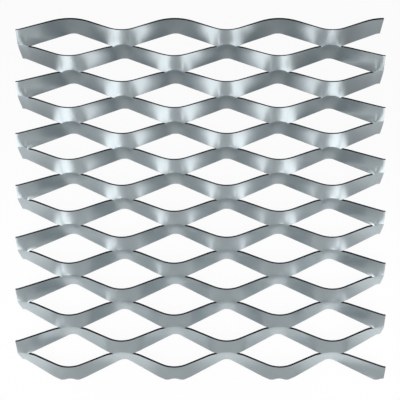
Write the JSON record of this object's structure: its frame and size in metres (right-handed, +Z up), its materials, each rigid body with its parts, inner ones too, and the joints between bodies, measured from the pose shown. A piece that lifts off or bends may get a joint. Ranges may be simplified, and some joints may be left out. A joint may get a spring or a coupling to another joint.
{
  "type": "expanded metal sheet",
  "caption": "Flat panel of raised expanded steel mesh with large diamond openings between wavy tilted strands.",
  "frame": {"origin": "centre of the sheet's outline, at the level that it lies on", "axes": "+X along the long way of the diamonds, +Y along the short way towards the edge that the strand faces turn away from, +Z up out of the sheet"},
  "size_m": [0.385, 0.3814, 0.0286],
  "materials": {
    "zinc_coated_steel": "satin zinc coat"
  },
  "bodies": {
    "root": {"expanded_sheet": "zinc_coated_steel"}
  },
  "joints": []
}
